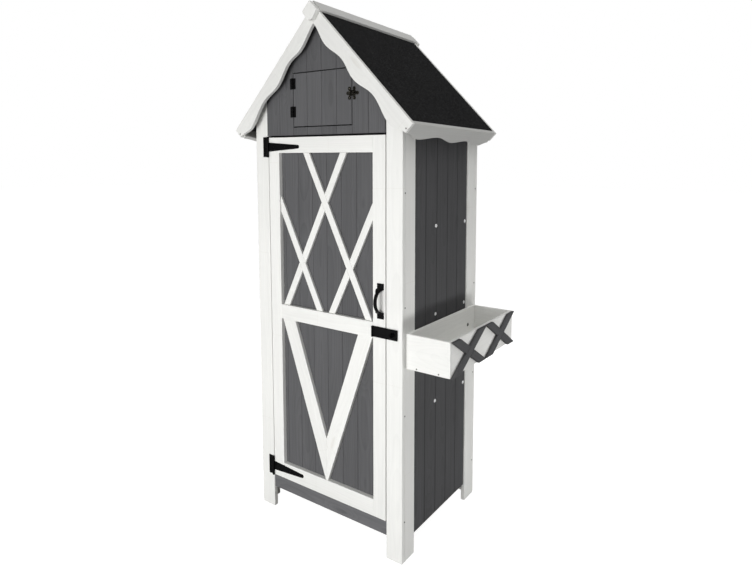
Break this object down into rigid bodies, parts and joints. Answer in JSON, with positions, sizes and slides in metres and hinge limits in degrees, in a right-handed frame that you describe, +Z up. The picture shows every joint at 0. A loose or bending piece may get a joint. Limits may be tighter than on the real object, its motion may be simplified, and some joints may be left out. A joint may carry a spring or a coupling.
{
  "type": "garden storage cabinet",
  "caption": "Tall narrow timber garden cabinet with a steep gabled felt roof, framed lattice door, small loft door in the gable and a planter box on its right side.",
  "frame": {"origin": "middle of the bounding box in plan, on the ground under the feet", "axes": "+X to the right as seen from the front, +Y to the back, +Z up; the door faces -Y"},
  "size_m": [0.8774, 0.58, 1.7917],
  "materials": {
    "white_paint": "satin white paint on planed softwood",
    "grey_paint": "grey wood stain on tongued softwood boards",
    "bare_timber": "planed untreated softwood",
    "roofing_felt": "black mineral roofing felt",
    "black_hardware": "black powder coated steel",
    "steel_heads": "zinc plated screw and nail heads"
  },
  "bodies": {
    "cabinet": {"left_front_post": "white_paint", "right_front_post": "white_paint", "left_rear_post": "white_paint", "right_rear_post": "white_paint", "corner_battens": "grey_paint", "left_wall_boards": "grey_paint", "right_wall_boards": "grey_paint", "rear_wall_boards": "grey_paint", "front_gable_boards": "grey_paint", "plinth_board": "grey_paint", "floor_boards": "bare_timber", "floor_bearers": "bare_timber", "door_stop": "bare_timber", "loft_floor": "bare_timber", "rafters": "bare_timber", "shelf_cleats": "bare_timber", "left_roof_boards": "bare_timber", "right_roof_boards": "bare_timber", "roof_felt": "roofing_felt", "left_eave_fascia": "white_paint", "right_eave_fascia": "white_paint", "ridge_cap": "white_paint", "ridge_end_plates": "white_paint", "hinge_plates": "black_hardware", "hinge_pins": "black_hardware", "staple_plate": "black_hardware", "loft_hinge_leaves": "black_hardware", "loft_latch_keeper": "black_hardware", "planter_back_board": "white_paint", "planter_outer_board": "white_paint", "planter_end_boards": "white_paint", "planter_floor": "white_paint", "planter_lattice": "grey_paint", "side_screws": "steel_heads", "nail_heads": "steel_heads", "lower_shelf": "bare_timber", "middle_shelf": "bare_timber", "upper_shelf": "bare_timber", "left_front_bargeboard": "white_paint", "right_front_bargeboard": "white_paint", "left_rear_bargeboard": "white_paint", "right_rear_bargeboard": "white_paint"},
    "door": {"door_left_stile": "white_paint", "door_right_stile": "white_paint", "door_top_rail": "white_paint", "door_mid_rail": "white_paint", "door_bottom_rail": "white_paint", "door_boards": "grey_paint", "door_lattice": "white_paint", "door_v_brace": "white_paint", "hinge_straps": "black_hardware", "door_handle": "black_hardware", "hasp_base": "black_hardware"},
    "hasp_strap": {"hasp_strap": "black_hardware"},
    "turn_staple": {"turn_staple": "black_hardware"},
    "loft_door": {"loft_door_boards": "grey_paint", "loft_door_ledges": "bare_timber", "loft_door_hinge_leaves": "black_hardware", "loft_latch_plate": "black_hardware"},
    "loft_latch": {"loft_latch_strap": "black_hardware"}
  },
  "joints": [
    {"name": "door_hinge", "type": "hinge", "parent": "cabinet", "child": "door", "pos_m": [-0.31275, -0.2384, 0.746], "axis": [0, 0, -1], "range_deg": [0, 155]},
    {"name": "hasp_hinge", "type": "hinge", "parent": "door", "child": "hasp_strap", "pos_m": [0.15525, -0.2398, 0.748], "axis": [0, 0, -1], "range_deg": [0, 175]},
    {"name": "staple_turn", "type": "hinge", "parent": "cabinet", "child": "turn_staple", "pos_m": [0.23425, -0.2499, 0.748], "axis": [0, 1, 0], "range_deg": [0, 90]},
    {"name": "loft_door_hinge", "type": "hinge", "parent": "cabinet", "child": "loft_door", "pos_m": [-0.18275, -0.2419, 1.4985], "axis": [0, 0, -1], "range_deg": [0, 90]},
    {"name": "loft_latch_hinge", "type": "hinge", "parent": "loft_door", "child": "loft_latch", "pos_m": [0.07025, -0.2426, 1.4985], "axis": [0, 0, -1], "range_deg": [0, 170]}
  ]
}
